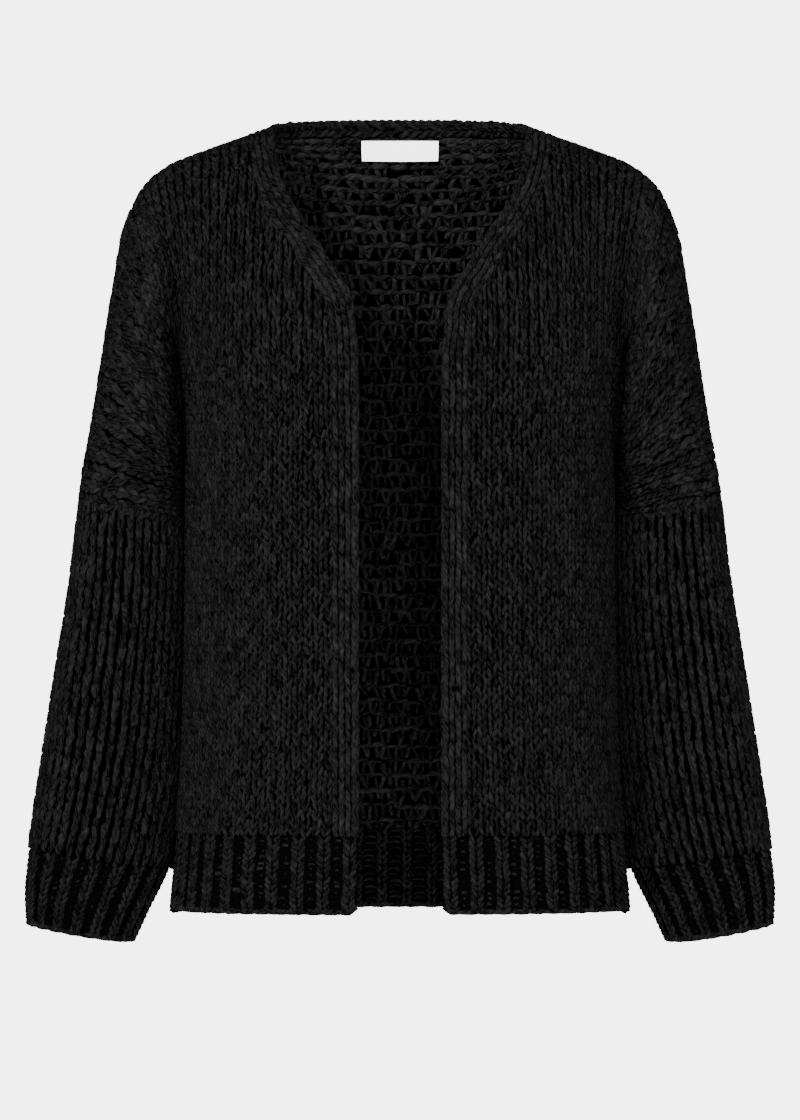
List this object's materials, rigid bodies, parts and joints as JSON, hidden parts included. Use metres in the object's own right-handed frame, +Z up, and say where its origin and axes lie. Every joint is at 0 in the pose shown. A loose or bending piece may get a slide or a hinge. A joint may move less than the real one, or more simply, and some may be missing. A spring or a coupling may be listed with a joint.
{
  "type": "oversized open-front knitted cardigan",
  "caption": "Chunky-knit open-front cardigan with dropped shoulders, wide sleeves and ribbed hem and cuffs, hollow as worn.",
  "frame": {"origin": "midway between the two points where the shoulders meet the neck, where a wearer carries the garment", "axes": "+Z up, -Y towards the garment's front, +X towards the wearer's left"},
  "size_m": [0.6186, 0.2755, 0.6777],
  "materials": {
    "knit": "near-black chunky wool-blend yarn in plain stocking stitch, matt with a faint nap",
    "rib": "the same near-black yarn in knit-one purl-one ribbing",
    "label": "bare white woven satin"
  },
  "bodies": {
    "root": {"back": "knit", "front_left": "knit", "front_right": "knit", "sleeve_left": "knit", "sleeve_right": "knit", "hem_back": "rib", "hem_front_left": "rib", "hem_front_right": "rib", "cuff_left": "rib", "cuff_right": "rib", "neck_band": "rib", "label": "label"}
  },
  "joints": []
}
